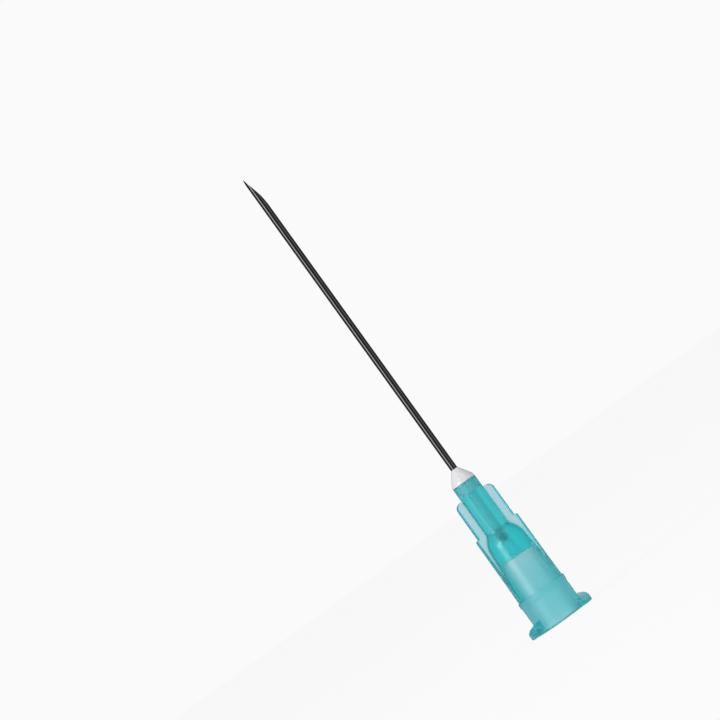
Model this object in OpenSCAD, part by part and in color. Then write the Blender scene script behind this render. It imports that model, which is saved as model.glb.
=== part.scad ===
// Hypodermic needle, 0.8 x 40 mm: a ground steel tube bonded into a moulded locking hub.
// The axis is Z. The hub's end face is at z = 0 and the point is at the top.
// Millimetres and degrees throughout.

/* [Tube] */
// Outside diameter of the steel tube
tube_d = 0.82; // [0.70:0.01:0.90]
// Diameter of the tube's bore
bore_d = 0.51; // [0.30:0.01:0.58]
// Length of tube in front of the hub's front face, point included
tube_reach = 40; // [20:0.5:60]
// Length of tube behind the hub's front face
tube_seat = 7.8; // [6.5:0.1:8.2]
// Gap all round between the tube and its hole in the hub
tube_gap = 0.02; // [0.01:0.01:0.05]

/* [Point] */
// Angle between the first grind and the tube's axis
bevel_angle = 9.5; // [9:0.5:18]
// Angle between each side grind and the tube's axis
lancet_angle = 14; // [12:0.5:25]
// Turn of each side grind to its own side
lancet_turn = 35; // [20:1:45]
// Length that the side grinds take off the first grind's edge
lancet_drop = 0.3; // [0.1:0.05:0.6]
// Way that the open side of the bevel faces, from the first wing
bevel_facing = 22; // [0:1:359]

/* [Hub] */
// Length of the hub
hub_len = 18.15; // [17:0.05:20]
// Diameter of the nose at the front face
nose_d = 2.84; // [2.5:0.02:3.2]
// Length of the nose, from the front face to the shoulder
nose_len = 6.3; // [5:0.05:7]
// Growth in the nose's diameter over its length, for the mould
nose_draft = 0.04; // [0:0.01:0.1]
// Diameter of the body where the shoulder's cone would meet it
shoulder_d = 4.28; // [4.0:0.02:4.6]
// Height of the cone between the nose and the body
shoulder_rise = 0.85; // [0.5:0.05:1.2]
// Radius that rounds the shoulder into the body
shoulder_round = 2.6; // [1:0.1:3]
// Radius that rounds the nose into the shoulder
neck_round = 0.5; // [0.2:0.1:0.6]
// Diameter of the body where it meets the skirt
body_d = 5.48; // [5.2:0.02:5.6]

/* [Skirt and lugs] */
// Diameter of the skirt round the socket's mouth
skirt_d = 5.76; // [5.7:0.02:6.6]
// Height of the skirt, bead included
skirt_len = 4.1; // [3.6:0.1:5]
// Diameter of the bead that ends the skirt
bead_d = 5.90; // [5.8:0.02:6.7]
// Width of the bead along the axis
bead_w = 0.6; // [0.4:0.1:1]
// Chamfer on the outer edges of the skirt and the bead
edge_chamfer = 0.12; // [0.05:0.01:0.2]
// Diameter across the two locking lugs
lug_d = 7.80; // [7.73:0.01:7.83]
// Arc that each lug covers where it leaves the skirt
lug_arc = 80; // [60:2:130]
// Arc at each end over which a lug runs out
lug_run_out = 14; // [8:1:22]
// Width of a lug where it leaves the skirt
lug_root = 1.1; // [0.8:0.1:1.4]
// Width of a lug along its outer edge
lug_crest = 0.5; // [0.3:0.05:0.7]
// Height of a lug's middle above the end face
lug_height = 0.55; // [0.4:0.05:1.6]
// Rise of the locking thread in one turn
lug_lead = 5; // [4.5:0.1:5.5]
// Turn of the lugs from the wings
lug_turn = -12; // [-30:1:30]
// Depth to which a lug is rooted in the skirt
lug_root_depth = 0.3; // [0.1:0.05:0.4]

/* [Wings] */
// Width across the two wings beside the nose
wing_front_w = 4.9; // [4.4:0.05:5.0]
// Width across the two wings beside the body
wing_back_w = 5.56; // [5.3:0.02:5.7]
// Distance from the front face to the top of the wings
wing_set_back = 1.6; // [1.2:0.1:2.5]
// Distance from the front face to the step in the wings
wing_step = 6.0; // [4.5:0.1:6.5]
// Radius of the wings' top corners
wing_round = 0.7; // [0.3:0.05:0.8]
// Radius of the step's corners
step_round = 0.18; // [0.1:0.02:0.2]
// Thickness of a wing at its top
wing_top_t = 0.65; // [0.4:0.05:0.8]
// Thickness of a wing at its foot
wing_foot_t = 1.1; // [0.8:0.05:1.4]

/* [Socket and seat] */
// Diameter of the tapered socket at its mouth
socket_d = 4.29; // [4.27:0.005:4.315]
// Loss of diameter for each millimetre of depth
socket_taper = 0.06; // [0.058:0.001:0.062]
// Depth of the socket
socket_depth = 8.5; // [7.5:0.1:9.2]
// Chamfer round the socket's mouth
mouth_chamfer = 0.2; // [0.1:0.05:0.3]
// Diameter of the small chamber behind the tube
chamber_d = 1.0; // [0.9:0.05:1.4]
// Length of tube that stands in the chamber
chamber_overlap = 0.35; // [0:0.05:0.5]
// Diameter of the adhesive well in the front face
well_d = 1.9; // [1.5:0.05:2.1]
// Depth of the adhesive well
well_depth = 1.3; // [0.8:0.1:1.6]

/* [Adhesive] */
// Height of the adhesive in front of the hub's front face
glue_rise = 1.7; // [1.2:0.05:2.4]
// Height of the adhesive's upright rim
glue_rim = 0.25; // [0.15:0.05:0.4]
// Distance from the nose's edge in to the adhesive's rim
glue_inset = 0.03; // [0.02:0.01:0.1]
// Width of the adhesive's top edge round the tube
glue_lip = 0.03; // [0.02:0.01:0.06]
// Radius that rounds the adhesive's rim
glue_round = 0.5; // [0.2:0.05:0.6]

/* [Hidden] */
$fn = 96;

// Straight pieces in each rounded corner
CORNER_STEPS = 8;
// Overshoot of a cut past the face that it goes through
CUT = 0.1;

tube_r = tube_d / 2;
point_z = hub_len + tube_reach;
tube_end_z = hub_len - tube_seat;
chamber_top_z = tube_end_z + chamber_overlap;
neck_z = hub_len - nose_len;
neck_d = nose_d + nose_draft;
step_z = hub_len - wing_step;
seat_d = tube_d + 2 * tube_gap;
socket_end_d = socket_d - socket_taper * socket_depth;
// Slope of the locking thread where a lug leaves the skirt
lug_slope = atan(lug_lead / (PI * skirt_d));
// Overshoot of a lug's leaning ring past the diameter that it is trimmed to
lug_over = (lug_d - skirt_d) / 20;

// The points of the arc that rounds the corner b between a and c.
function rounded_corner(a, b, c, radius) =
    let (
        to_a = (a - b) / norm(a - b),
        to_c = (c - b) / norm(c - b),
        half = acos(to_a * to_c) / 2,
        middle = b + (to_a + to_c) / norm(to_a + to_c) * radius / sin(half),
        first = b + to_a * radius / tan(half) - middle,
        last = b + to_c * radius / tan(half) - middle,
        from = atan2(first.y, first.x),
        sweep = atan2(cross(first, last), first * last)
    )
    [for (i = [0 : CORNER_STEPS])
        middle + radius * [cos(from + sweep * i / CORNER_STEPS), sin(from + sweep * i / CORNER_STEPS)]];

// An outline from corners [x, y, radius], where a radius of 0 leaves the corner sharp.
function outline(corners) =
    let (n = len(corners), flat = [for (p = corners) [p.x, p.y]])
    [for (i = [0 : n - 1])
        each corners[i].z == 0
            ? [flat[i]]
            : rounded_corner(flat[(i + n - 1) % n], flat[i], flat[(i + 1) % n], corners[i].z)];

// Everything on the open side of one grind, which meets the tube's back wall at the given height.
module grind(angle, turn, height) {
    reach = tube_d / sin(angle) + tube_reach;
    translate([-tube_r, 0, height])
        rotate([0, 0, turn])
            rotate([0, -angle, 0])
                translate([0, -reach / 2, -reach / 2])
                    cube([reach, reach, reach]);
}

// Three grinds make the point: one long bevel, and one on each side that brings it to a tip.
module point_grinds() {
    rotate([0, 0, bevel_facing]) {
        grind(bevel_angle, 0, point_z + lancet_drop);
        for (side = [-1, 1])
            grind(lancet_angle, side * lancet_turn, point_z);
    }
}

module needle_tube() {
    color([0.30, 0.30, 0.34])
        difference() {
            translate([0, 0, tube_end_z])
                cylinder(d = tube_d, h = point_z - tube_end_z);
            translate([0, 0, tube_end_z - CUT])
                cylinder(d = bore_d, h = point_z - tube_end_z + 2 * CUT);
            point_grinds();
        }
}

// The hub's round form: skirt, bead, body, shoulder and nose in one revolve.
module hub_turning() {
    rotate_extrude()
        polygon(outline([
            [0, 0, 0],
            [skirt_d / 2 - edge_chamfer, 0, 0],
            [skirt_d / 2, edge_chamfer, 0],
            [skirt_d / 2, skirt_len - bead_w, 0],
            [bead_d / 2, skirt_len - bead_w, 0],
            [bead_d / 2, skirt_len - edge_chamfer, 0],
            [bead_d / 2 - edge_chamfer, skirt_len, 0],
            [body_d / 2, skirt_len, 0],
            [shoulder_d / 2, neck_z - shoulder_rise, shoulder_round],
            [neck_d / 2, neck_z, neck_round],
            [nose_d / 2, hub_len, 0],
            [0, hub_len, 0]
        ]));
}

// Both wings as one plate through the axis, thicker towards its foot as the mould's draft needs.
module wings() {
    top_z = hub_len - wing_set_back;
    foot_z = skirt_len - bead_w;
    intersection() {
        rotate([90, 0, 0])
            linear_extrude(height = wing_foot_t, center = true)
                polygon(outline([
                    [-wing_back_w / 2, foot_z, 0],
                    [wing_back_w / 2, foot_z, 0],
                    [wing_back_w / 2, step_z, step_round],
                    [wing_front_w / 2, step_z, step_round / 2],
                    [wing_front_w / 2, top_z, wing_round],
                    [-wing_front_w / 2, top_z, wing_round],
                    [-wing_front_w / 2, step_z, step_round / 2],
                    [-wing_back_w / 2, step_z, step_round]
                ]));
        rotate([90, 0, 90])
            linear_extrude(height = wing_back_w, center = true)
                polygon([
                    [-wing_foot_t / 2, foot_z],
                    [wing_foot_t / 2, foot_z],
                    [wing_top_t / 2, top_z],
                    [-wing_top_t / 2, top_z]
                ]);
    }
}

// One locking lug: a stretch of a ring that leans as the locking thread rises, cut off at the end face.
module lug() {
    root_r = skirt_d / 2;
    crest_r = lug_d / 2;
    side = lug_arc / 2;
    over_crest = lug_crest / 2 - (lug_root - lug_crest) / 20;
    intersection() {
        translate([0, 0, lug_height])
            rotate([lug_slope, 0, 0])
                rotate_extrude()
                    polygon([
                        [root_r - lug_root_depth, -lug_root / 2],
                        [root_r, -lug_root / 2],
                        [crest_r + lug_over, -over_crest],
                        [crest_r + lug_over, over_crest],
                        [root_r, lug_root / 2],
                        [root_r - lug_root_depth, lug_root / 2]
                    ]);
        cylinder(d = lug_d, h = skirt_len - bead_w);
        linear_extrude(height = skirt_len)
            polygon([
                [0, 0],
                (root_r + lug_over) * [cos(-side), sin(-side)],
                lug_d * [cos(lug_run_out - side), sin(lug_run_out - side)],
                lug_d * [cos(side - lug_run_out), sin(side - lug_run_out)],
                (root_r + lug_over) * [cos(side), sin(side)]
            ]);
    }
}

// The tapered socket, the chamber behind the tube, the tube's seat and the adhesive well.
module hub_bores() {
    mouth_r = socket_d / 2;
    socket_overshoot = socket_taper * CUT;
    translate([0, 0, -CUT])
        cylinder(d1 = socket_d + socket_overshoot, d2 = socket_end_d, h = socket_depth + CUT);
    translate([0, 0, -CUT])
        cylinder(r1 = mouth_r + mouth_chamfer + CUT, r2 = mouth_r, h = mouth_chamfer + CUT);
    translate([0, 0, socket_depth - CUT])
        cylinder(d = chamber_d, h = chamber_top_z - socket_depth + CUT);
    translate([0, 0, chamber_top_z - CUT])
        cylinder(d = seat_d, h = hub_len - chamber_top_z + 2 * CUT);
    translate([0, 0, hub_len - well_depth])
        cylinder(d = well_d, h = well_depth + CUT);
}

module hub() {
    color([0.24, 0.72, 0.75, 0.8])
        difference() {
            union() {
                hub_turning();
                wings();
                for (half_turn = [0, 180])
                    rotate([0, 0, lug_turn + half_turn])
                        lug();
            }
            hub_bores();
        }
}

// Fills the well and rises in a cone that grips the tube.
module adhesive() {
    rim_r = nose_d / 2 - glue_inset;
    color([0.92, 0.91, 0.93])
        rotate_extrude()
            polygon(outline([
                [tube_r, hub_len - well_depth, 0],
                [well_d / 2, hub_len - well_depth, 0],
                [well_d / 2, hub_len, 0],
                [rim_r, hub_len, 0],
                [rim_r, hub_len + glue_rim, glue_round],
                [tube_r + glue_lip, hub_len + glue_rise, 0],
                [tube_r, hub_len + glue_rise, 0]
            ]));
}

hub();
needle_tube();
adhesive();
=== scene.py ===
"""Finish of a hypodermic needle: a steel tube bonded into a moulded locking hub.

The three pieces are surfaces worked out with numpy. Each one is a closed meridian, carried once
round the needle's axis on a grid, so that every piece is one watertight skin. Lengths in the
property groups are in metres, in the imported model's own frame: the axis is Z, the hub's end face
is at z = 0 and the point is at the top.
"""

import math

import bmesh
import bpy
import numpy as np
from mathutils import Matrix, Vector


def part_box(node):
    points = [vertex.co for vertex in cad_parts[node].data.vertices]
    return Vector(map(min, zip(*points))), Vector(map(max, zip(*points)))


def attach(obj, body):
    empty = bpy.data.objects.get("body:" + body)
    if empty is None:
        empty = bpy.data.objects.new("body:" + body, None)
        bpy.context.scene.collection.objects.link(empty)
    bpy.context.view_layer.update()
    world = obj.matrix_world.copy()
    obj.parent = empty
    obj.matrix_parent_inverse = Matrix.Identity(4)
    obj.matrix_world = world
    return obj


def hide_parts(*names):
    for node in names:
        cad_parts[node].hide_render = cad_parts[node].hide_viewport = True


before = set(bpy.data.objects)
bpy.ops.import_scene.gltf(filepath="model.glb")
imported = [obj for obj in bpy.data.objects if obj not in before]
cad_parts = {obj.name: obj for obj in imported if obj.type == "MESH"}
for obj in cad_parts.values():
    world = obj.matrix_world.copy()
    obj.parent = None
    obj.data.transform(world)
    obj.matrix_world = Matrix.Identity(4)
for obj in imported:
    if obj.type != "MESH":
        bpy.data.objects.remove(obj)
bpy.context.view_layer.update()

bl_info = {
    "name": "Hypodermic Needle Finish",
    "version": (1, 0, 0),
    "blender": (4, 5, 0),
    "location": "3D View > Sidebar > Needle",
    "description": "Builds the hub, tube and adhesive of a hypodermic needle, with their stage",
    "category": "Object",
}

MM = 0.001
ROOT_BODY = "root"

HUB_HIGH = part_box("hub")[1]
TUBE_LOW, TUBE_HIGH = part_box("needle_tube")
ADHESIVE_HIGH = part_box("adhesive")[1]

# Greatest distance between rows of the hub's skin
SKIRT_STEP, WING_STEP, NOSE_STEP, BORE_STEP = 0.09 * MM, 0.18 * MM, 0.25 * MM, 0.6 * MM
# Columns of a quarter ring: half a wing's end, its rounded edge, its side, its fillet, the bar
QUARTER_COLUMNS = (4, 5, 6, 5, 62)
HALVINGS = 16
# By how much pieces that are bonded overlap, so that plastic, epoxy and steel touch
SEAT_BITE, ADHESIVE_BITE = 0.005 * MM, 0.012 * MM
# Thickness of plastic at which its colour is deepest, and what counts beside a wing (painted
# shade)
DEEPEST_MM = 6.0
BESIDE_WING = 2.6 * MM
BESIDE_WING_FROM, BESIDE_WING_TO = 20, 46


def length(name, default_mm, description):
    """A length property whose default is given in millimetres."""
    return bpy.props.FloatProperty(
        name=name, description=description, default=default_mm * MM, unit="LENGTH", precision=5
    )


def angle(name, default_degrees, description):
    """An angle property whose default is given in degrees."""
    return bpy.props.FloatProperty(
        name=name, description=description, default=math.radians(default_degrees), unit="ROTATION"
    )


def colour(name, default, description):
    """A linear colour property."""
    return bpy.props.FloatVectorProperty(
        name=name, description=description, default=default, size=3, subtype="COLOR", min=0, max=1
    )


class HubSizes(bpy.types.PropertyGroup):
    """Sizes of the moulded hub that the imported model's boxes don't give."""

    nose_d: length("Nose Diameter", 2.84, "Diameter at the front face")
    nose_len: length("Nose Length", 6.3, "From the front face to the shoulder")
    nose_draft: length("Nose Draft", 0.04, "Growth in diameter down the nose")
    shoulder_d: length("Shoulder Diameter", 4.28, "Where the shoulder's cone would meet the body")
    shoulder_rise: length("Shoulder Rise", 0.85, "Height of the cone between nose and body")
    shoulder_round: length("Shoulder Radius", 2.6, "Rounds the shoulder into the body")
    neck_round: length("Neck Radius", 0.8, "Rounds the nose into the shoulder")
    body_d: length("Body Diameter", 5.48, "Where the body meets the skirt")
    skirt_d: length("Skirt Diameter", 5.76, "Round the socket's mouth")
    skirt_len: length("Skirt Height", 4.1, "From the end face to the top of the bead")
    bead_d: length("Bead Diameter", 5.90, "Over the bead")
    bead_w: length("Bead Width", 0.6, "Along the axis")
    lug_arc: angle("Lug Arc", 80, "Arc of a lug where it leaves the skirt")
    lug_run_out: angle("Lug Run-out", 14, "Arc at each end over which a lug runs out")
    lug_root: length("Lug Root Width", 1.1, "Where it leaves the skirt")
    lug_crest: length("Lug Crest Width", 0.5, "Along its outer edge")
    lug_height: length("Lug Height", 0.55, "Of a lug's middle above the end face")
    lug_lead: length("Lug Lead", 5, "Rise of the locking thread in one turn")
    lug_turn: angle("Lug Turn", -12, "Turn of the lugs from the wings")
    wing_front_w: length("Wing Width, Front", 4.9, "Across both wings beside the nose")
    wing_back_w: length("Wing Width, Back", 5.56, "Across both wings beside the body")
    wing_set_back: length("Wing Set-back", 1.6, "From the front face to the wings' top")
    wing_step: length("Wing Step", 6.0, "From the front face to the step in the wings")
    wing_round: length("Wing Corner", 0.7, "Radius of the wings' top corners")
    step_round: length("Step Corner", 0.18, "Radius of the step's corners")
    wing_top_t: length("Wing Thickness, Top", 0.65, "At the wings' top")
    wing_foot_t: length("Wing Thickness, Foot", 1.1, "At the wings' foot")
    wing_edge_round: length("Wing Edge Radius", 0.12, "Rounds a wing's outer edge")
    wing_fillet: length("Wing Fillet", 0.05, "Blends a wing into the hub")
    socket_d: length("Socket Diameter", 4.29, "At the mouth")
    socket_depth: length("Socket Depth", 8.5, "Of the tapered socket")
    socket_taper: bpy.props.FloatProperty(
        name="Socket Taper", description="Loss of diameter for each unit of depth", default=0.06
    )
    mouth_chamfer: length("Mouth Chamfer", 0.2, "Round the socket's mouth")
    chamber_d: length("Chamber Diameter", 1.0, "Behind the tube")
    chamber_overlap: length("Chamber Overlap", 0.35, "Length of tube in the chamber")
    well_d: length("Well Diameter", 1.9, "Adhesive well in the front face")
    well_depth: length("Well Depth", 1.3, "Adhesive well in the front face")
    edge_round: length("Edge Radius", 0.12, "Rounds the moulding's outer edges")


class TubeSizes(bpy.types.PropertyGroup):
    """Sizes of the steel tube and its ground point."""

    bore_d: length("Bore", 0.51, "Inside diameter")
    bevel_angle: angle("Bevel", 9.5, "Between the first grind and the axis")
    lancet_angle: angle("Lancet", 14, "Between each side grind and the axis")
    lancet_turn: angle("Lancet Turn", 35, "Turn of each side grind to its own side")
    lancet_drop: length("Lancet Drop", 0.3, "Length that the side grinds take off the first")
    bevel_facing: angle("Bevel Facing", 22, "Way that the bevel opens, from the first wing")


class AdhesiveSizes(bpy.types.PropertyGroup):
    """Sizes of the drop of adhesive."""

    rim: length("Rim", 0.25, "Height of the upright rim")
    inset: length("Inset", 0.03, "From the nose's edge in to the rim")
    lip: length("Lip", 0.03, "Width of the top edge round the tube")
    rim_round: length("Rim Radius", 0.5, "Rounds the rim into the cone")


class FinishColours(bpy.types.PropertyGroup):
    """Colours of the finishes."""

    # Deepest tint: the solid body leans toward it, and the wings' edges take it, partly as painted
    # shade
    plastic_deep: colour("Plastic, Edges", (0.02, 0.66, 0.71), "Blue-green along the wings' edges")
    plastic_thick: colour("Plastic, Solid", (0.22, 0.69, 0.73), "Blue-green where it is solid")
    plastic_wall: colour("Plastic, Walls", (0.57, 0.72, 0.79), "Blue-green round the socket")
    plastic_thin: colour("Plastic, Wings", (0.83, 0.76, 0.84), "Blue-green where it is thin")
    plastic_inside: colour("Plastic, Inside", (0.95, 0.98, 0.98), "The skin of the bores")
    # Painted shade: the tube's colour is darker than bare steel, for the dark room that it
    # reflects
    steel: colour("Steel", (0.30, 0.30, 0.325), "Drawn stainless steel")
    # Painted light: inside the hub the tube is lighter, a painted reflection, so that it shows
    # through the plastic
    steel_lit_in_hub: colour("Steel, Bonded", (0.72, 0.73, 0.75), "The tube where adhesive wets it")
    adhesive: colour("Adhesive", (0.92, 0.905, 0.935), "Cured epoxy")
    floor: colour("Floor", (0.86, 0.86, 0.86), "Pale floor")


def rounded_path(corners, steps=8):
    """Points of an open path through corners (r, z, radius), each corner rounded by its radius.

    The arc's centre lies on the corner's bisector, at radius / sin(half angle) from the corner.
    A corner with radius 0 stays a single point, as do the first and the last.
    """
    points = []
    last = len(corners) - 1
    for i, (r, z, radius) in enumerate(corners):
        corner = np.array([r, z])
        if radius == 0 or i in (0, last):
            points.append(corner[None])
            continue
        back = np.array(corners[i - 1][:2]) - corner
        on = np.array(corners[i + 1][:2]) - corner
        back, on = back / np.linalg.norm(back), on / np.linalg.norm(on)
        half = math.acos(np.clip(back @ on, -1, 1)) / 2
        middle = corner + (back + on) / np.linalg.norm(back + on) * radius / math.sin(half)
        first = corner + back * radius / math.tan(half) - middle
        final = corner + on * radius / math.tan(half) - middle
        start = math.atan2(first[1], first[0])
        turn = math.atan2(first[0] * final[1] - first[1] * final[0], first @ final)
        a = start + turn * np.linspace(0, 1, steps + 1)
        points.append(middle + radius * np.stack([np.cos(a), np.sin(a)], axis=1))
    return np.concatenate(points)


def refined(path, step):
    """The same path with points added on its straight stretches, no more than step apart."""
    along = np.concatenate([[0], np.cumsum(np.linalg.norm(np.diff(path, axis=0), axis=1))])
    pieces = [
        np.linspace(a, b, max(int(math.ceil((b - a) / step)), 1), endpoint=False)
        for a, b in zip(along[:-1], along[1:])
        if b > a
    ]
    s = np.append(np.concatenate(pieces), along[-1])
    return np.stack([np.interp(s, along, path[:, k]) for k in range(path.shape[1])], axis=1)


def closed_grid(name, x, y, z, masks=None, crease_degrees=38):
    """A mesh object from three arrays of shape (rows, columns), closed both ways round.

    Each cell of the grid is one face. Rows that fall on each other are merged afterwards, so that
    no face is left without an area. Masks are arrays of the same shape, kept on the points.
    """
    rows, columns = x.shape
    index = np.arange(rows * columns).reshape(rows, columns)
    below = np.roll(index, -1, axis=0)
    faces = np.stack(
        [index, np.roll(index, -1, axis=1), np.roll(below, -1, axis=1), below], axis=-1
    ).reshape(-1, 4)
    mesh = bpy.data.meshes.new(name)
    mesh.vertices.add(rows * columns)
    mesh.vertices.foreach_set("co", np.stack([x, y, z], axis=-1).astype(np.float32).ravel())
    mesh.loops.add(faces.size)
    mesh.loops.foreach_set("vertex_index", faces.astype(np.int32).ravel())
    mesh.polygons.add(len(faces))
    mesh.polygons.foreach_set("loop_start", np.arange(0, faces.size, 4, dtype=np.int32))
    mesh.update(calc_edges=True)
    for mask, values in (masks or {}).items():
        layer = mesh.attributes.new(mask, "FLOAT", "POINT")
        layer.data.foreach_set("value", np.asarray(values, np.float32).ravel())
    weld_and_face_out(mesh)
    mesh.set_sharp_from_angle(angle=math.radians(crease_degrees))
    obj = bpy.data.objects.new(name, mesh)
    bpy.context.scene.collection.objects.link(obj)
    return obj


def weld_and_face_out(mesh):
    """Merges points that fall together and turns the skin's faces outwards."""
    skin = bmesh.new()
    skin.from_mesh(mesh)
    bmesh.ops.remove_doubles(skin, verts=skin.verts, dist=0.0005 * MM)
    if skin.calc_volume(signed=True) < 0:
        bmesh.ops.reverse_faces(skin, faces=skin.faces)
    for face in skin.faces:
        face.smooth = True
    skin.to_mesh(mesh)
    skin.free()


def smooth_least(a, b, blend):
    """The lesser of a and b, rounded where they are within blend of each other."""
    return np.minimum(a, b) - np.maximum(blend - np.abs(a - b), 0) ** 2 / (4 * blend)


def lug_excess(around, z, sizes):
    """How far the two lugs stand out of the skirt at each angle and height.

    A lug is a ring of trapezoid section that leans by the thread's slope about its own radial
    line, trimmed to a cylinder and, at each end, to an upright plane. Going out along each
    radius, the place where the ring is left is found by halving.
    """
    root_r, crest_r = sizes.skirt_d / 2, HUB_HIGH.x
    tall, slope = crest_r - root_r, lug_slope(sizes)
    off = lug_offset(around, sizes)
    flank = (sizes.lug_root - sizes.lug_crest) / 2 / tall
    low, high = np.zeros_like(z), np.full_like(z, 1.5 * tall)
    for _ in range(HALVINGS):
        reach = root_r + (low + high) / 2
        x, y, up = reach * np.cos(off), reach * np.sin(off), z - sizes.lug_height
        level = y * math.cos(slope) + up * math.sin(slope)
        lean = np.abs(up * math.cos(slope) - y * math.sin(slope))
        inside = lean < sizes.lug_root / 2 - (np.hypot(x, level) - root_r) * flank
        low, high = np.where(inside, reach - root_r, low), np.where(inside, high, reach - root_r)
    return np.maximum(smooth_least(low, lug_end_limit(off, sizes), 0.08 * MM), 0)


def lug_slope(sizes):
    """Slope of the locking thread where a lug leaves the skirt."""
    return math.atan(sizes.lug_lead / (math.pi * sizes.skirt_d))


def lug_offset(around, sizes):
    """Angle of each point from the middle of the nearer lug."""
    return (around - sizes.lug_turn + math.pi / 2) % math.pi - math.pi / 2


def lug_end_limit(off, sizes):
    """How far out of the skirt a lug may reach: to its crest, and to the plane at its end.

    The plane runs from just outside the skirt at the lug's root arc to twice the crest's radius
    at the arc less the run-out. A radius crosses it at n . p / n . direction.
    """
    root_r, crest_r = sizes.skirt_d / 2, HUB_HIGH.x
    side = sizes.lug_arc / 2
    inner = side - sizes.lug_run_out
    near = Vector((math.cos(side), math.sin(side))) * (root_r + (crest_r - root_r) / 10)
    far = Vector((math.cos(inner), math.sin(inner))) * 2 * crest_r
    normal = Vector((near.y - far.y, far.x - near.x)).normalized()
    across = normal.x * np.cos(off) + normal.y * np.abs(np.sin(off))
    reach = normal @ near / np.maximum(across, normal @ near / (4 * crest_r))
    return np.where(np.abs(off) < side, np.minimum(reach, crest_r) - root_r, 0)


def lug_middle(around, sizes):
    """Height of the lugs' middle at each angle, half way out of the skirt.

    Past a lug's end the height eases back to the lug's own, so that it has no jump between lugs.
    """
    middle_r = (sizes.skirt_d / 2 + HUB_HIGH.x) / 2
    off, side = lug_offset(around, sizes), sizes.lug_arc / 2
    away = np.clip((np.abs(off) - side) / (math.pi / 2 - side), 0, 1)
    ease = 1 - away**2 * (3 - 2 * away)
    return sizes.lug_height + middle_r * np.sin(off) * math.tan(lug_slope(sizes)) * ease


def hub_outline(sizes):
    """Meridian of the body, shoulder and nose, from the bead's top to the front face."""
    front_z, neck_z = HUB_HIGH.z, HUB_HIGH.z - sizes.nose_len
    nose_r = sizes.nose_d / 2
    return rounded_path(
        [
            (sizes.body_d / 2, sizes.skirt_len, 0),
            (sizes.shoulder_d / 2, neck_z - sizes.shoulder_rise, sizes.shoulder_round),
            (nose_r + sizes.nose_draft / 2, neck_z, sizes.neck_round),
            (nose_r, front_z, 0),
        ],
        steps=16,
    )


def wing_outline(sizes):
    """Outer edge of a wing as (distance from the axis, height), from its foot to its top."""
    front_z = HUB_HIGH.z
    step_z, top_z = front_z - sizes.wing_step, front_z - sizes.wing_set_back
    back, front = sizes.wing_back_w / 2, sizes.wing_front_w / 2
    return rounded_path(
        [
            (back, sizes.skirt_len, 0),
            (back, step_z, sizes.step_round),
            (front, step_z, sizes.step_round / 2),
            (front, top_z, sizes.wing_round),
            (0.9 * sizes.nose_d / 2, top_z, 0),
        ]
    )


def winged_ring(radius, wing, half_t, sizes, share):
    """Quarter of each cross-section: a round bar with a flat wing through it.

    radius, wing and half_t hold one value for each row. Walking out from the wing's middle, the
    quarter is half of the wing's end, its rounded edge, its flat side, a fillet and then the bar.
    Where the wing doesn't reach out of the bar, the same columns are spread over the bar.
    share gives each column's place along its own stretch, as (stretch, 0 to 1).
    """
    side_reach = np.sqrt(np.maximum(radius**2 - half_t**2, 0))
    out = np.maximum(wing - side_reach, 0)
    edge = np.minimum(sizes.wing_edge_round, 0.45 * out)
    fillet = np.minimum(sizes.wing_fillet, 0.45 * out)
    seat = np.sqrt((radius + fillet) ** 2 - (half_t + fillet) ** 2)
    seat_angle = np.arctan2(half_t + fillet, seat)
    bar_start = np.arcsin((half_t + sizes.wing_fillet) / (radius + sizes.wing_fillet))
    stretch, along = share
    r, w, h, e, f, s, a, b = (
        v[:, None] for v in (radius, wing, half_t, edge, fillet, seat, seat_angle, bar_start)
    )
    turn = along * math.pi / 2
    end_x, end_y = w + 0 * along, (h - e) * along
    edge_x, edge_y = w - e + e * np.cos(turn), h - e + e * np.sin(turn)
    side_x, side_y = w - e + (s - w + e) * along, h + 0 * along
    dip = -math.pi / 2 - (math.pi / 2 - a) * along
    fillet_x, fillet_y = s + f * np.cos(dip), h + f + f * np.sin(dip)
    bar = np.where(along > 0, b + (math.pi / 2 - b) * along, a)
    bar_x, bar_y = r * np.cos(bar), r * np.sin(bar)
    x = np.choose(stretch, [end_x, edge_x, side_x, fillet_x, bar_x])
    y = np.choose(stretch, [end_y, edge_y, side_y, fillet_y, bar_y])
    spread = (stretch + along) / 4 * a
    hidden = (w <= r) & (stretch < 4)
    return np.where(hidden, r * np.cos(spread), x), np.where(hidden, r * np.sin(spread), y)


def once_round(quarter_x, quarter_y):
    """The quarter's columns mirrored over both axes into a whole ring."""
    x = np.concatenate([quarter_x, -quarter_x[:, -2::-1]], axis=1)
    y = np.concatenate([quarter_y, quarter_y[:, -2::-1]], axis=1)
    return (
        np.concatenate([x, x[:, -2:0:-1]], axis=1),
        np.concatenate([y, -y[:, -2:0:-1]], axis=1),
    )


def column_shares():
    """Stretch number and place along it for each column of a quarter ring."""
    last = len(QUARTER_COLUMNS) - 1
    stretch = np.concatenate([np.full(n, k) for k, n in enumerate(QUARTER_COLUMNS)])
    along = np.concatenate(
        [np.linspace(0, 1, n, endpoint=k == last) for k, n in enumerate(QUARTER_COLUMNS)]
    )
    return stretch, along


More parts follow.
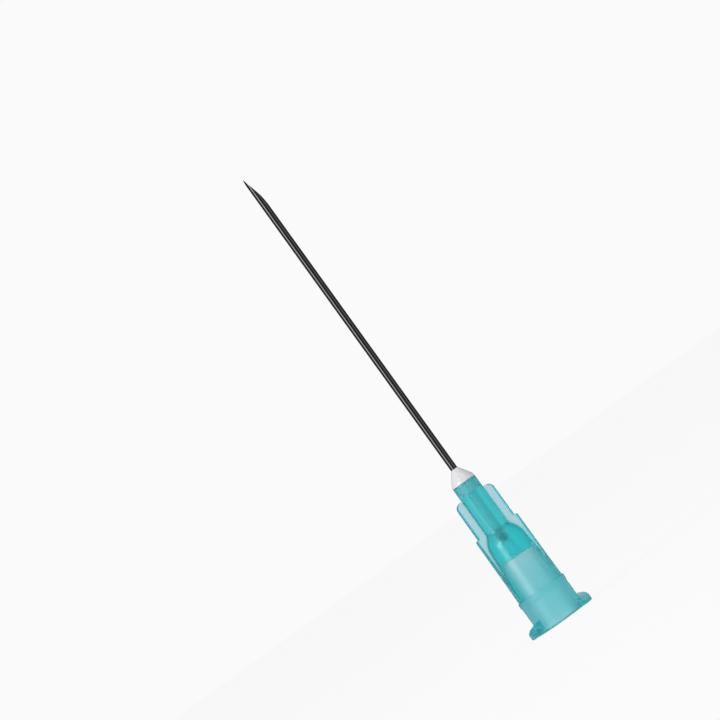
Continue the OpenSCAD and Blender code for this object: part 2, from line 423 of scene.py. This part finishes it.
def hub_rows(sizes):
    """Rows of the hub's skin, from the end face up the outside and back down the bores.

    Each row is (radius, wing reach, half of the wing's thickness, height).
    """
    front_z, edge = HUB_HIGH.z, sizes.edge_round
    skirt_r, bead_r = sizes.skirt_d / 2, sizes.bead_d / 2
    bead_z = sizes.skirt_len - sizes.bead_w
    skirt = refined(np.array([(skirt_r, edge), (skirt_r, bead_z)]), SKIRT_STEP)
    rim = rounded_path([(skirt_r - edge, 0, 0), (skirt_r, 0, 0.99 * edge), (skirt_r, edge, 0)])
    bead = rounded_path(
        [
            (skirt_r, bead_z, 0),
            (bead_r, bead_z, edge / 4),
            (bead_r, sizes.skirt_len, edge),
            (sizes.body_d / 2 + edge / 4, sizes.skirt_len, 0),
        ]
    )
    outline = hub_outline(sizes)
    wing = refined(wing_outline(sizes), WING_STEP)
    wing_top = wing[-1, 1]
    nose = refined(
        rounded_path(
            [
                (np.interp(wing_top, outline[:, 1], outline[:, 0]), wing_top, 0),
                (sizes.nose_d / 2, front_z, edge / 2),
                (sizes.well_d / 2, front_z, 0),
            ]
        ),
        NOSE_STEP,
    )
    bores = refined(hub_bore_path(sizes), BORE_STEP)
    plain = np.concatenate([rim, skirt[1:-1], bead])
    foot_t, top_t = sizes.wing_foot_t / 2, sizes.wing_top_t / 2
    half_t = np.interp(wing[:, 1], [bead_z, wing_top], [foot_t, top_t])
    bar_r = np.interp(wing[:, 1], outline[:, 1], outline[:, 0])
    winged = np.stack([bar_r, wing[:, 0], half_t, wing[:, 1]], axis=1)
    as_rows = lambda path, t: np.stack(
        [path[:, 0], 0 * path[:, 0], np.full(len(path), t), path[:, 1]], axis=1
    )
    return [as_rows(plain, foot_t), winged, as_rows(nose, top_t), as_rows(bores, top_t)]


def hub_bore_path(sizes):
    """Meridian of the inside, from the adhesive well's edge down to the end face.

    The tube's seat is a hair smaller than the tube, so that plastic and steel touch.
    """
    front_z = HUB_HIGH.z
    seat_r = TUBE_HIGH.x - SEAT_BITE
    well_z = front_z - sizes.well_depth
    chamber_z = TUBE_LOW.z + sizes.chamber_overlap
    depth = sizes.socket_depth
    socket_end_r = (sizes.socket_d - sizes.socket_taper * depth) / 2
    chamfer = sizes.mouth_chamfer
    return rounded_path(
        [
            (sizes.well_d / 2, front_z, 0),
            (sizes.well_d / 2, well_z, 0.1 * MM),
            (seat_r, well_z, 0),
            (seat_r, chamber_z, 0),
            (sizes.chamber_d / 2, chamber_z, 0.08 * MM),
            (sizes.chamber_d / 2, depth, 0.06 * MM),
            (socket_end_r, depth, 0.15 * MM),
            (sizes.socket_d / 2 - sizes.socket_taper * chamfer / 2, chamfer, 0),
            (sizes.socket_d / 2 + chamfer, 0, 0),
            (sizes.skirt_d / 2 - sizes.edge_round, 0, 0),
        ]
    )


def plastic_behind(rows, sizes):
    """Thickness of plastic that a look through each row's skin meets on its way.

    It is twice the wall: the radius less that of the hollow behind. The plastic counts as solid
    above the socket, and nearly so round the adhesive's well, which is filled.
    """
    radius, z = rows[:, 0], rows[:, 3]
    depth, well_z = sizes.socket_depth, HUB_HIGH.z - sizes.well_depth
    hollow = np.interp(
        z,
        [0, depth, depth + 0.4 * MM, well_z - 0.2 * MM, well_z, HUB_HIGH.z],
        [sizes.socket_d / 2, 0.94 * sizes.socket_d / 2, 0, 0, 0.2 * MM, 0.2 * MM],
    )
    return 2 * np.maximum(np.maximum(radius, sizes.nose_d / 2) - hollow, 0.3 * MM)


def skin_thickness(rows, share, y, reach, out, bore_rows, sizes):
    """Thickness of plastic behind each point of the hub's skin, from which its colour follows.

    To what stands behind the row comes twice the lugs' excess. Beside a wing it goes over to
    BESIDE_WING, a deeper tint that is painted shade on the body's sides there, on a wing's flat
    side to half of the wing's thickness, and on its end and rounded edge to twice the wings'
    width.
    This deepest tint at the edges is partly real, because a look in there runs along the whole
    wing, and partly painted shade. The skin of the bores has none.
    """
    behind = plastic_behind(rows, sizes)[:, None] + 2 * out
    from_wing = np.degrees(np.arcsin(np.clip(np.abs(y) / reach, 0, 1)))
    # Painted shade: a deeper tint on the body's sides next to each wing
    beside = np.interp(from_wing, [BESIDE_WING_FROM, BESIDE_WING_TO], [1, 0])
    beside = np.where(rows[:, 1:2] > 0, beside, 0)
    behind = np.maximum(behind, BESIDE_WING * beside + behind * (1 - beside))
    behind[-bore_rows:] = 0
    on_wing = np.clip((reach - rows[:, 0:1] - 0.02 * MM) / (0.12 * MM), 0, 1)
    on_wing = np.where(rows[:, 1:2] > 0, on_wing, 0)
    thick = behind + (rows[:, 2:3] - behind) * on_wing
    # Partly painted shade: the wings' ends and rounded edges take the deepest tint
    end_or_edge = np.tile((share[0] < 2) * 1.0, (len(rows), 1))
    at_edge = np.abs(once_round(end_or_edge, end_or_edge)[0]) > 0
    return np.where(at_edge & (on_wing > 0), 2 * sizes.wing_back_w, thick)


def build_hub(sizes):
    """The hub as one closed skin: outside, front face, bores and end face in one grid.

    The wings are part of each cross-section. The lugs push the skirt's points outwards, after its
    rows have been moved with each lug's middle so that they follow its edges.
    """
    share = column_shares()
    groups = hub_rows(sizes)
    rows = np.concatenate(groups)
    quarter_x, quarter_y = winged_ring(rows[:, 0], rows[:, 1], rows[:, 2], sizes, share)
    x, y = once_round(quarter_x, quarter_y)
    z = np.repeat(rows[:, 3:4], x.shape[1], axis=1)
    around = np.arctan2(y, x)
    z = follow_lugs(z, around, rows, sizes)
    reach = np.hypot(x, y)
    skirt = rows[:, 3] < sizes.skirt_len - sizes.bead_w
    skirt &= rows[:, 0] > sizes.socket_d / 2 + sizes.mouth_chamfer * 1.01
    out = np.where(skirt[:, None], lug_excess(around, z, sizes), 0)
    x, y = x * (1 + out / reach), y * (1 + out / reach)
    thickness = skin_thickness(rows, share, y, reach, out, len(groups[-1]), sizes)
    return closed_grid("hub_moulding", x, y, z, {"thickness": thickness / MM})


def follow_lugs(z, around, rows, sizes):
    """Moves the skirt's rows so that they crowd round each lug's middle and lean with it."""
    top = sizes.skirt_len - sizes.bead_w
    outside = (rows[:, 3] <= top) & (np.abs(rows[:, 0] - sizes.skirt_d / 2) < 0.001 * MM)
    outside &= rows[:, 3] > sizes.edge_round * 1.01
    count = np.count_nonzero(outside)
    place = (np.arange(count) + 0.5) / count
    middle = lug_middle(around[outside], sizes)
    half_root, half_crest = sizes.lug_root / 2, sizes.lug_crest / 2
    low = sizes.edge_round
    stops = [
        np.full_like(middle, low),
        np.clip(middle - half_root - 0.05 * MM, low, top),
        np.clip(middle - half_crest, low, top),
        np.clip(middle + half_crest, low, top),
        np.clip(middle + half_root + 0.05 * MM, low, top),
        np.full_like(middle, top),
    ]
    shares = [0, 0.12, 0.38, 0.56, 0.82, 1]
    moved = np.zeros_like(middle)
    for k in range(5):
        inside = (place >= shares[k]) & (place < shares[k + 1])
        local = ((place - shares[k]) / (shares[k + 1] - shares[k]))[:, None]
        moved = np.where(inside[:, None], stops[k] + (stops[k + 1] - stops[k]) * local, moved)
    z = z.copy()
    z[outside] = moved
    return z


def point_height(around, radius, sizes):
    """Height of the ground point at each angle and radius: the lowest of its three grinds.

    A grind is a plane that meets the tube's back wall at a set height and falls off along its own
    way at 1 / tan(angle).
    """
    back = TUBE_HIGH.x

    def grind(slant, turn, height):
        x = radius * np.cos(around - sizes.bevel_facing)
        y = radius * np.sin(around - sizes.bevel_facing)
        along = (x + back) * math.cos(turn) + y * math.sin(turn)
        return height - along / math.tan(slant)

    heights = [grind(sizes.bevel_angle, 0, TUBE_HIGH.z + sizes.lancet_drop)]
    heights += [
        grind(sizes.lancet_angle, side * sizes.lancet_turn, TUBE_HIGH.z) for side in (-1, 1)
    ]
    return np.minimum(np.minimum(*heights[:2]), heights[2])


def build_tube(sizes):
    """The tube as one closed skin: outer wall, ground point, bore and cut end in one grid.

    Rows run up the outer wall to the height of the point at each angle, across the ground face
    from the outer to the inner radius, and back down the bore. One mask marks the ground faces
    and one the stretch held in the hub and the adhesive, which the steel's material paints
    lighter as a painted reflection of light.
    """
    columns, plain_rows, slant_rows, across = 192, 38, 47, 10
    around = sizes.bevel_facing + np.linspace(0, 2 * math.pi, columns, endpoint=False)[None]
    outer_r, inner_r = TUBE_HIGH.x, sizes.bore_d / 2
    low = TUBE_LOW.z
    outer_top, inner_top = (point_height(around, r, sizes) for r in (outer_r, inner_r))
    grind_start = outer_top.min() - 0.5 * MM
    glue_edge = [ADHESIVE_HIGH.z - 0.2 * MM, ADHESIVE_HIGH.z]
    stops = np.concatenate([np.linspace(low, grind_start, plain_rows), glue_edge])
    straight = np.sort(stops)[:, None] + 0 * around
    rise = np.linspace(0, 1, slant_rows + 1)[1:, None]
    ground_r = np.linspace(outer_r, inner_r, across)[1:-1, None] + 0 * around
    z = np.concatenate(
        [
            straight,
            grind_start + (outer_top - grind_start) * rise,
            point_height(around, ground_r, sizes),
            (grind_start + (inner_top - grind_start) * rise)[::-1],
            straight[::-1],
        ]
    )
    wall_rows = len(straight) + slant_rows
    outer, inner = (np.full((wall_rows, columns), r) for r in (outer_r, inner_r))
    radius = np.concatenate([outer, ground_r, inner])
    ground = np.zeros_like(z)
    ground[wall_rows - 1 : wall_rows - 1 + across] = 1
    # Stretch held in the hub and the adhesive, which the material paints lighter: a painted
    # reflection of light
    bonded = np.interp(z, [low + 0.3 * MM, low + 1.8 * MM, *glue_edge], [0, 1, 1, 0])
    return closed_grid(
        "steel_tube",
        radius * np.cos(around),
        radius * np.sin(around),
        z,
        {"ground": ground, "bonded": bonded},
        crease_degrees=25,
    )


def build_adhesive(sizes, hub):
    """The drop of adhesive as one closed skin: the plug in the well and the cone on the front.

    Its meridian is carried round the axis: radius times cosine and sine of the angle.
    """
    front_z = HUB_HIGH.z
    bite = ADHESIVE_BITE
    tube_r = TUBE_HIGH.x - bite
    rim_r = hub.nose_d / 2 - sizes.inset
    well_z = front_z - hub.well_depth
    top_z = ADHESIVE_HIGH.z
    path = refined(
        rounded_path(
            [
                (tube_r, well_z - bite, 0),
                (hub.well_d / 2 + bite, well_z - bite, 0.1 * MM),
                (hub.well_d / 2 + bite, front_z - bite, 0),
                (rim_r, front_z - bite, 0),
                (rim_r, front_z + sizes.rim, sizes.rim_round),
                (TUBE_HIGH.x + sizes.lip, top_z, 0.02 * MM),
                (tube_r, top_z, 0),
            ]
        ),
        0.06 * MM,
    )
    around = np.linspace(0, 2 * math.pi, 128, endpoint=False)[None]
    radius, z = path[:, 0:1], path[:, 1:2]
    return closed_grid(
        "adhesive_drop", radius * np.cos(around), radius * np.sin(around), z + 0 * around
    )


def new_material(name):
    """An empty node material with its output."""
    material = bpy.data.materials.new(name)
    material.use_nodes = True
    material.node_tree.nodes.clear()
    output = material.node_tree.nodes.new("ShaderNodeOutputMaterial")
    return material, output


def node(tree, kind, inputs=None, **settings):
    """A node of that kind, with its settings and its plain input values."""
    made = tree.nodes.new(kind)
    for key, value in settings.items():
        setattr(made, key, value)
    for key, value in (inputs or {}).items():
        made.inputs[key].default_value = value
    return made


def surface_grain_group():
    """A group that puts out fine unevenness from Object coordinates.

    Height is noise at the given scale, Rough is roughness spread evenly about its middle value.
    """
    group = bpy.data.node_groups.new("surface_grain", "ShaderNodeTree")
    for name, value in (("Scale", 2000.0), ("Stretch", 1.0), ("Roughness", 0.1), ("Spread", 0.05)):
        socket = group.interface.new_socket(name, in_out="INPUT", socket_type="NodeSocketFloat")
        socket.default_value = value
    for name in ("Height", "Rough"):
        group.interface.new_socket(name, in_out="OUTPUT", socket_type="NodeSocketFloat")
    source = group.nodes.new("NodeGroupInput")
    result = group.nodes.new("NodeGroupOutput")
    coordinates = group.nodes.new("ShaderNodeTexCoord")
    squash = group.nodes.new("ShaderNodeCombineXYZ")
    squash.inputs["X"].default_value = 1
    squash.inputs["Y"].default_value = 1
    scaled = node(group, "ShaderNodeVectorMath", operation="MULTIPLY")
    noise = node(group, "ShaderNodeTexNoise", {"Detail": 4.0, "Roughness": 0.6})
    spread = node(group, "ShaderNodeMath", operation="MULTIPLY_ADD")
    centred = node(group, "ShaderNodeMath", {1: 0.5}, operation="SUBTRACT")
    link = group.links.new
    link(source.outputs["Stretch"], squash.inputs["Z"])
    link(coordinates.outputs["Object"], scaled.inputs[0])
    link(squash.outputs["Vector"], scaled.inputs[1])
    link(scaled.outputs["Vector"], noise.inputs["Vector"])
    link(source.outputs["Scale"], noise.inputs["Scale"])
    link(noise.outputs["Fac"], centred.inputs[0])
    link(centred.outputs["Value"], spread.inputs[0])
    link(source.outputs["Spread"], spread.inputs[1])
    link(source.outputs["Roughness"], spread.inputs[2])
    link(noise.outputs["Fac"], result.inputs["Height"])
    link(spread.outputs["Value"], result.inputs["Rough"])
    return group


def grain(tree, group, scale, stretch, roughness, spread):
    """The surface_grain group placed in a material with its own values."""
    placed = tree.nodes.new("ShaderNodeGroup")
    placed.node_tree = group
    values = {"Scale": scale, "Stretch": stretch, "Roughness": roughness, "Spread": spread}
    for key, value in values.items():
        placed.inputs[key].default_value = value
    return placed


def bump(tree, height_socket, strength, distance):
    """A Bump node fed by a height."""
    made = node(tree, "ShaderNodeBump", {"Strength": strength, "Distance": distance})
    tree.links.new(height_socket, made.inputs["Height"])
    return made


def plastic_material(colours, group):
    """Clear blue-green polypropylene with a faintly frosted skin.

    The light's way inside takes mainly red, as absorption. Green and blue come from the tint of
    the skin, which a ramp gives from the thickness kept on its points: pale where the plastic is
    thin, deep where it is thick and deepest at the wings' edges. The deeper tint beside the wings
    is painted shade, and at their edges it is partly painted shade.
    """
    material, output = new_material("blue_green_polypropylene")
    tree = material.node_tree
    link = tree.links.new
    shader = node(
        tree,
        "ShaderNodeBsdfPrincipled",
        {
            "Transmission Weight": 0.92,
            "IOR": 1.4,
            "Metallic": 0.0,
            "Coat Weight": 0.6,
            "Coat Roughness": 0.14,
            "Coat IOR": 1.45,
        },
    )
    inside = node(
        tree, "ShaderNodeVolumeAbsorption", {"Color": (0.1, 0.957, 0.96, 1), "Density": 780.0}
    )
    thickness = node(tree, "ShaderNodeAttribute", attribute_name="thickness")
    deep = node(tree, "ShaderNodeMapRange", {"From Min": 0.0, "From Max": DEEPEST_MM})
    tint = tree.nodes.new("ShaderNodeValToRGB")
    stops = tint.color_ramp.elements
    stops[0].position, stops[0].color = 0.02, (*colours.plastic_inside, 1)
    stops[1].position, stops[1].color = 1.0, (*colours.plastic_deep, 1)
    for at, shade in (
        (0.05, colours.plastic_thin),
        (0.10, colours.plastic_thin),
        (0.16, colours.plastic_wall),
        (0.26, colours.plastic_wall),
        (0.43, colours.plastic_thick),
        (0.80, colours.plastic_thick),
    ):
        stops.new(at).color = (*shade, 1)
    fine = grain(tree, group, 900.0, 1.0, 0.42, 0.10)
    relief = bump(tree, fine.outputs["Height"], 0.15, 0.004 * MM)
    link(thickness.outputs["Fac"], deep.inputs["Value"])
    link(deep.outputs["Result"], tint.inputs["Fac"])
    link(tint.outputs["Color"], shader.inputs["Base Color"])
    link(fine.outputs["Rough"], shader.inputs["Roughness"])
    link(relief.outputs["Normal"], shader.inputs["Normal"])
    link(shader.outputs["BSDF"], output.inputs["Surface"])
    link(inside.outputs["Volume"], output.inputs["Volume"])
    return material


def steel_material(colours, group):
    """Drawn stainless steel: fine lines along the tube, and a softer sheen on its ground faces."""
    material, output = new_material("drawn_steel")
    tree = material.node_tree
    link = tree.links.new
    shader = node(tree, "ShaderNodeBsdfPrincipled", {"Metallic": 1.0})
    # Painted shade and light: darker than bare steel outside, lighter on the stretch that the
    # bonded mask marks
    bonded = node(tree, "ShaderNodeAttribute", attribute_name="bonded")
    lit_in_hub = node(tree, "ShaderNodeMix", data_type="RGBA")
    lit_in_hub.inputs["A"].default_value = (*colours.steel, 1)
    lit_in_hub.inputs["B"].default_value = (*colours.steel_lit_in_hub, 1)
    link(bonded.outputs["Fac"], lit_in_hub.inputs["Factor"])
    link(lit_in_hub.outputs["Result"], shader.inputs["Base Color"])
    drawn = grain(tree, group, 9000.0, 0.02, 0.06, 0.06)
    ground = node(tree, "ShaderNodeAttribute", attribute_name="ground")
    rougher = node(tree, "ShaderNodeMath", {1: 0.18}, operation="MULTIPLY_ADD")
    relief = bump(tree, drawn.outputs["Height"], 0.1, 0.001 * MM)
    link(ground.outputs["Fac"], rougher.inputs[0])
    link(drawn.outputs["Rough"], rougher.inputs[2])
    link(rougher.outputs["Value"], shader.inputs["Roughness"])
    link(relief.outputs["Normal"], shader.inputs["Normal"])
    link(shader.outputs["BSDF"], output.inputs["Surface"])
    return material


def adhesive_material(colours, group):
    """Cured epoxy: milky, a little see-through, with a smooth poured surface."""
    material, output = new_material("cured_epoxy")
    tree = material.node_tree
    link = tree.links.new
    shader = node(
        tree,
        "ShaderNodeBsdfPrincipled",
        {"Transmission Weight": 0.1, "IOR": 1.5, "Metallic": 0.0},
    )
    shader.inputs["Base Color"].default_value = (*colours.adhesive, 1)
    slow = grain(tree, group, 700.0, 1.0, 0.22, 0.12)
    relief = bump(tree, slow.outputs["Height"], 0.12, 0.01 * MM)
    link(slow.outputs["Rough"], shader.inputs["Roughness"])
    link(relief.outputs["Normal"], shader.inputs["Normal"])
    link(shader.outputs["BSDF"], output.inputs["Surface"])
    return material


def finish_piece(obj, material, replaced):
    """Gives a piece its material and its body, and hides the CAD node that it stands for."""
    obj.data.materials.append(material)
    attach(obj, ROOT_BODY)
    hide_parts(replaced)


def grain_group():
    """The shared surface_grain group, made the first time that it is asked for."""
    return bpy.data.node_groups.get("surface_grain") or surface_grain_group()


class NEEDLE_OT_hub(bpy.types.Operator):
    """Build the moulded hub with its wings, bead, skirt, lugs and bores"""

    bl_idname = "needle.hub"
    bl_label = "Hub"

    def execute(self, context):
        scene = context.scene
        hub = build_hub(scene.needle_hub)
        finish_piece(
            hub, plastic_material(scene.needle_colours, grain_group()), "hub"
        )
        return {"FINISHED"}


class NEEDLE_OT_tube(bpy.types.Operator):
    """Build the steel tube with its ground point"""

    bl_idname = "needle.tube"
    bl_label = "Tube"

    def execute(self, context):
        scene = context.scene
        tube = build_tube(scene.needle_tube)
        finish_piece(
            tube, steel_material(scene.needle_colours, grain_group()), "needle_tube"
        )
        return {"FINISHED"}


class NEEDLE_OT_adhesive(bpy.types.Operator):
    """Build the drop of adhesive that holds the tube"""

    bl_idname = "needle.adhesive"
    bl_label = "Adhesive"

    def execute(self, context):
        scene = context.scene
        drop = build_adhesive(scene.needle_adhesive, scene.needle_hub)
        finish_piece(
            drop, adhesive_material(scene.needle_colours, grain_group()), "adhesive"
        )
        return {"FINISHED"}


LENS = 300
SENSOR = 36
VIEW_WIDTH = 77.0 * MM
VIEW_AZIMUTH = math.radians(-18)
VIEW_ELEVATION = math.radians(-1)
VIEW_ROLL = math.radians(35.71)
VIEW_CENTRE_Z = 35.2 * MM
VIEW_CENTRE_LEFT = 1.37 * MM

LAMP_TARGET = Vector((0, 0, 12 * MM))
LAMP_DISTANCE = 0.7
# Name, turn to the right of the camera and elevation in degrees, width, height and radiance
LAMPS = (("key", -46, 20, 0.38, 0.30, 5.5), ("top", 60, 65, 0.30, 0.30, 1.0))

# Turn to the right of the camera, half width and softness in degrees, and strength
ROOM_STRIPS = ((-43, 10, 8, 1.1), (50, 8, 10, 0.27), (180, 18, 10, 0.5))
ROOM_DARK = 0.05
ROOM_LIGHT = 0.6
BACKGROUND = 0.957
# The floor's own brightness, its share of what is seen, and the share of the room's strips that it
# shows metal as painted light
FLOOR_LIT, FLOOR_SHARE, FLOOR_PAINTED_STRIPS = 1.0, 0.86, 0.4
FLOOR_RADIUS = 1.2
FLOOR_DROP = 0.03 * MM


def make_camera(scene):
    """The camera: level with the needle, rolled so that the point is up and to the left."""
    forward = Vector(
        (
            -math.sin(VIEW_AZIMUTH) * math.cos(VIEW_ELEVATION),
            math.cos(VIEW_AZIMUTH) * math.cos(VIEW_ELEVATION),
            -math.sin(VIEW_ELEVATION),
        )
    )
    right = forward.cross(Vector((0, 0, 1))).normalized()
    up = right.cross(forward)
    turned = Matrix.Rotation(VIEW_ROLL, 3, forward)
    distance = VIEW_WIDTH * LENS / SENSOR
    target = Vector((0, 0, VIEW_CENTRE_Z)) - right * VIEW_CENTRE_LEFT
    data = bpy.data.cameras.new("needle_view")
    data.lens, data.sensor_width = LENS, SENSOR
    data.clip_start, data.clip_end = 0.01, 20
    camera = bpy.data.objects.new("needle_view", data)
    axes = Matrix((turned @ right, turned @ up, -forward)).transposed()
    camera.matrix_world = Matrix.Translation(target - forward * distance) @ axes.to_4x4()
    scene.collection.objects.link(camera)
    scene.camera = camera


def aim_area(name, place, target, width, height, radiance):
    """A rectangular soft lamp whose face has the given radiance."""
    data = bpy.data.lights.new(name, "AREA")
    data.shape = "RECTANGLE"
    data.size, data.size_y = width, height
    data.energy = radiance * width * height * math.pi
    lamp = bpy.data.objects.new(name, data)
    lamp.matrix_world = Matrix.Translation(place) @ (
        (target - place).to_track_quat("-Z", "Y").to_matrix().to_4x4()
    )
    bpy.context.scene.collection.objects.link(lamp)


def round_from_view(turn_degrees, elevation_degrees, distance):
    """A place seen from the needle at that turn to the right of the camera and that elevation."""
    turn = VIEW_AZIMUTH + math.radians(turn_degrees)
    rise = math.radians(elevation_degrees)
    back = Vector(
        (math.sin(turn) * math.cos(rise), -math.cos(turn) * math.cos(rise), math.sin(rise))
    )
    return LAMP_TARGET + back * distance


def make_lamps():
    """A broad key on the left, a little above the needle, and a weak one high on the right."""
    for name, turn, elevation, width, height, radiance in LAMPS:
        place = round_from_view(turn, elevation, LAMP_DISTANCE)
        aim_area(name, place, LAMP_TARGET, width, height, radiance)


def room_round(tree, way):
    """Brightness that metal sees each way round: a dark room with soft strips.

    A bright strip stands on the left of the camera, a weak one on the right and a panel behind
    the needle. A strip is the dot product of the level way with the strip's direction, stepped
    softly at the cosine of its half width.
    """
    link = tree.links.new
    flat = node(tree, "ShaderNodeVectorMath", {1: (1, 1, 0)}, operation="MULTIPLY")
    level = node(tree, "ShaderNodeVectorMath", operation="NORMALIZE")
    link(way, flat.inputs[0])
    link(flat.outputs["Vector"], level.inputs[0])
    room = None
    for turn, half_width, softness, strength in ROOM_STRIPS:
        way = VIEW_AZIMUTH + math.radians(turn)
        toward = node(tree, "ShaderNodeVectorMath", operation="DOT_PRODUCT")
        toward.inputs[1].default_value = (math.sin(way), -math.cos(way), 0)
        strip = node(
            tree,
            "ShaderNodeMapRange",
            {
                "From Min": math.cos(math.radians(half_width + softness)),
                "From Max": math.cos(math.radians(half_width)),
                "To Min": ROOM_DARK,
                "To Max": strength,
            },
            interpolation_type="SMOOTHSTEP",
        )
        link(level.outputs["Vector"], toward.inputs[0])
        link(toward.outputs["Value"], strip.inputs["Value"])
        if room is None:
            room = strip.outputs["Result"]
        else:
            brighter = node(tree, "ShaderNodeMath", operation="MAXIMUM")
            link(room, brighter.inputs[0])
            link(strip.outputs["Result"], brighter.inputs[1])
            room = brighter.outputs["Value"]
    return room


def make_world(scene):
    """White to the camera and through plastic, and the room with its strips to metal."""
    world = bpy.data.worlds.new("studio")
    scene.world = world
    world.use_nodes = True
    tree = world.node_tree
    tree.nodes.clear()
    link = tree.links.new
    path = tree.nodes.new("ShaderNodeLightPath")
    coordinates = tree.nodes.new("ShaderNodeTexCoord")
    room = room_round(tree, coordinates.outputs["Generated"])
    for_glossy = node(tree, "ShaderNodeMix", data_type="FLOAT")
    for_glossy.inputs["A"].default_value = ROOM_LIGHT
    seen = node(tree, "ShaderNodeMath", operation="MAXIMUM")
    strength = node(tree, "ShaderNodeMix", data_type="FLOAT")
    strength.inputs["B"].default_value = BACKGROUND
    background = node(tree, "ShaderNodeBackground", {"Color": (1, 1, 1, 1)})
    output = tree.nodes.new("ShaderNodeOutputWorld")
    link(path.outputs["Is Glossy Ray"], for_glossy.inputs["Factor"])
    link(room, for_glossy.inputs["B"])
    link(path.outputs["Is Camera Ray"], seen.inputs[0])
    link(path.outputs["Is Transmission Ray"], seen.inputs[1])
    link(seen.outputs["Value"], strength.inputs["Factor"])
    link(for_glossy.outputs["Result"], strength.inputs["A"])
    link(strength.outputs["Result"], background.inputs["Strength"])
    link(background.outputs["Background"], output.inputs["Surface"])


def floor_material(colours):
    """A white floor that keeps soft shadows and can be looked through from below.

    To metal it glows with the room's strips, a painted reflection of light, so that the tube keeps
    its streaks when seen from above.
    """
    material, output = new_material("pale_floor")
    tree = material.node_tree
    link = tree.links.new
    path = tree.nodes.new("ShaderNodeLightPath")
    geometry = tree.nodes.new("ShaderNodeNewGeometry")
    paint = tree.nodes.new("ShaderNodeBsdfDiffuse")
    paint.inputs["Color"].default_value = (*colours.floor, 1)
    lit = node(tree, "ShaderNodeEmission", {"Color": (1, 1, 1, 1), "Strength": FLOOR_LIT})
    seen = node(tree, "ShaderNodeMath", operation="MAXIMUM")
    share = node(tree, "ShaderNodeMath", {1: FLOOR_SHARE}, operation="MULTIPLY")
    mixed = tree.nodes.new("ShaderNodeMixShader")
    coordinates = tree.nodes.new("ShaderNodeTexCoord")
    strips = node(tree, "ShaderNodeEmission", {"Color": (1, 1, 1, 1)})
    mirrored = node(tree, "ShaderNodeMath", operation="SUBTRACT", use_clamp=True)
    some = node(tree, "ShaderNodeMath", {1: FLOOR_PAINTED_STRIPS}, operation="MULTIPLY")
    for_glossy = tree.nodes.new("ShaderNodeMixShader")
    clear = tree.nodes.new("ShaderNodeBsdfTransparent")
    sided = tree.nodes.new("ShaderNodeMixShader")
    link(path.outputs["Is Camera Ray"], seen.inputs[0])
    link(path.outputs["Is Transmission Ray"], seen.inputs[1])
    link(seen.outputs["Value"], share.inputs[0])
    link(share.outputs["Value"], mixed.inputs["Fac"])
    link(paint.outputs["BSDF"], mixed.inputs[1])
    link(lit.outputs["Emission"], mixed.inputs[2])
    # Painted light: glowing strips that only metal sees in the floor
    link(room_round(tree, coordinates.outputs["Object"]), strips.inputs["Strength"])
    link(path.outputs["Is Glossy Ray"], mirrored.inputs[0])
    link(path.outputs["Is Transmission Ray"], mirrored.inputs[1])
    link(mirrored.outputs["Value"], some.inputs[0])
    link(some.outputs["Value"], for_glossy.inputs["Fac"])
    link(mixed.outputs["Shader"], for_glossy.inputs[1])
    link(strips.outputs["Emission"], for_glossy.inputs[2])
    link(geometry.outputs["Backfacing"], sided.inputs["Fac"])
    link(for_glossy.outputs["Shader"], sided.inputs[1])
    link(clear.outputs["BSDF"], sided.inputs[2])
    link(sided.outputs["Shader"], output.inputs["Surface"])
    return material


def make_floor(colours):
    """A round floor just under the hub's end face."""
    around = np.linspace(0, 2 * math.pi, 96, endpoint=False)
    rim = FLOOR_RADIUS * np.stack([np.cos(around), np.sin(around), 0 * around], axis=1)
    rim[:, 2] = -FLOOR_DROP
    mesh = bpy.data.meshes.new("floor")
    mesh.from_pydata(rim.tolist(), [], [list(range(len(rim)))])
    floor = bpy.data.objects.new("floor", mesh)
    bpy.context.scene.collection.objects.link(floor)
    floor.data.materials.append(floor_material(colours))


class NEEDLE_OT_stage(bpy.types.Operator):
    """Set the camera, the lamps, the world and the pale floor"""

    bl_idname = "needle.stage"
    bl_label = "Stage"

    def execute(self, context):
        scene = context.scene
        scene.view_settings.view_transform = "Standard"
        make_camera(scene)
        make_lamps()
        make_world(scene)
        make_floor(scene.needle_colours)
        return {"FINISHED"}


class NEEDLE_PT_panel(bpy.types.Panel):
    """Lists the needle's pieces and their sizes"""

    bl_idname = "NEEDLE_PT_panel"
    bl_label = "Hypodermic Needle"
    bl_space_type = "VIEW_3D"
    bl_region_type = "UI"
    bl_category = "Needle"

    def draw(self, context):
        layout = self.layout
        for operator in (NEEDLE_OT_hub, NEEDLE_OT_tube, NEEDLE_OT_adhesive, NEEDLE_OT_stage):
            layout.operator(operator.bl_idname)
        for settings in ("needle_hub", "needle_tube", "needle_adhesive", "needle_colours"):
            group = getattr(context.scene, settings)
            box = layout.box()
            for name in group.bl_rna.properties.keys():
                if name not in ("rna_type", "name"):
                    box.prop(group, name)


SETTINGS = {
    "needle_hub": HubSizes,
    "needle_tube": TubeSizes,
    "needle_adhesive": AdhesiveSizes,
    "needle_colours": FinishColours,
}
CLASSES = (
    *SETTINGS.values(),
    NEEDLE_OT_hub,
    NEEDLE_OT_tube,
    NEEDLE_OT_adhesive,
    NEEDLE_OT_stage,
    NEEDLE_PT_panel,
)


def register():
    for each in CLASSES:
        bpy.utils.register_class(each)
    for name, group in SETTINGS.items():
        setattr(bpy.types.Scene, name, bpy.props.PointerProperty(type=group))


def unregister():
    for name in SETTINGS:
        delattr(bpy.types.Scene, name)
    for each in reversed(CLASSES):
        bpy.utils.unregister_class(each)


def main():
    """Registers the add-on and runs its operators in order."""
    register()
    bpy.ops.needle.stage()
    bpy.ops.needle.hub()
    bpy.ops.needle.tube()
    bpy.ops.needle.adhesive()


if __name__ == "__main__":
    main()
